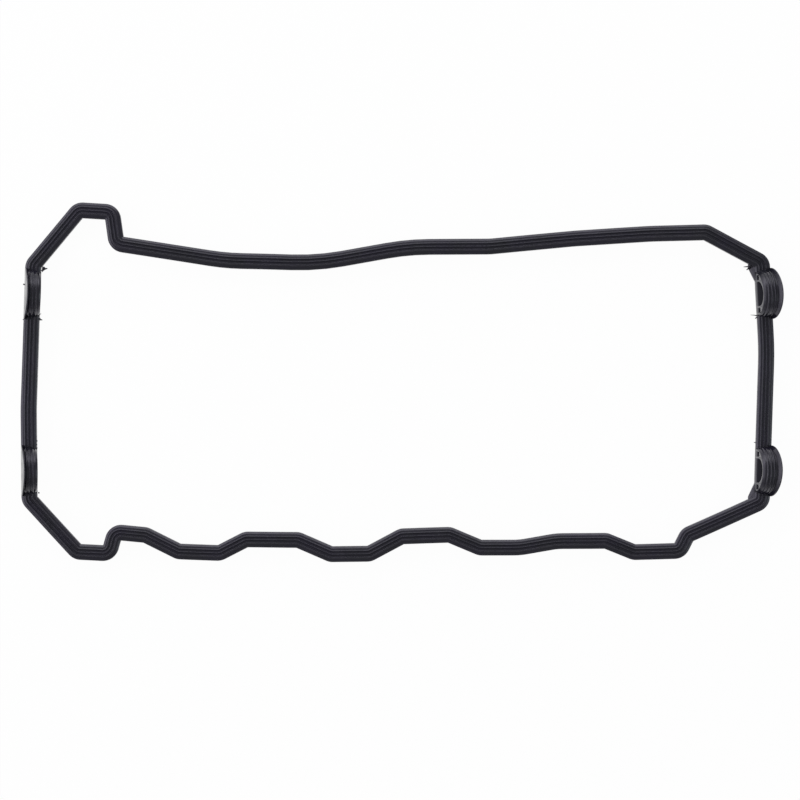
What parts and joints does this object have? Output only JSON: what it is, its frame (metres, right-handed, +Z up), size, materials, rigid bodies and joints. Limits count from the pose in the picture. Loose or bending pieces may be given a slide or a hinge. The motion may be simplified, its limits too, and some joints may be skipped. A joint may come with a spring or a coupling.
{
  "type": "valve cover gasket",
  "caption": "Moulded rubber valve cover gasket: a closed loop with sealing ribs on its head, a groove tongue below and half-moon plugs for the camshaft bores.",
  "frame": {"origin": "bottom centre of the part's box, in the plane of the tongue's underside", "axes": "+X along the loop's length, +Y across it towards the smooth long side, +Z up from the tongue to the sealing ribs"},
  "size_m": [0.4404, 0.2088, 0.023],
  "materials": {
    "rubber": "satin moulded"
  },
  "bodies": {
    "root": {"gasket": "rubber"}
  },
  "joints": []
}
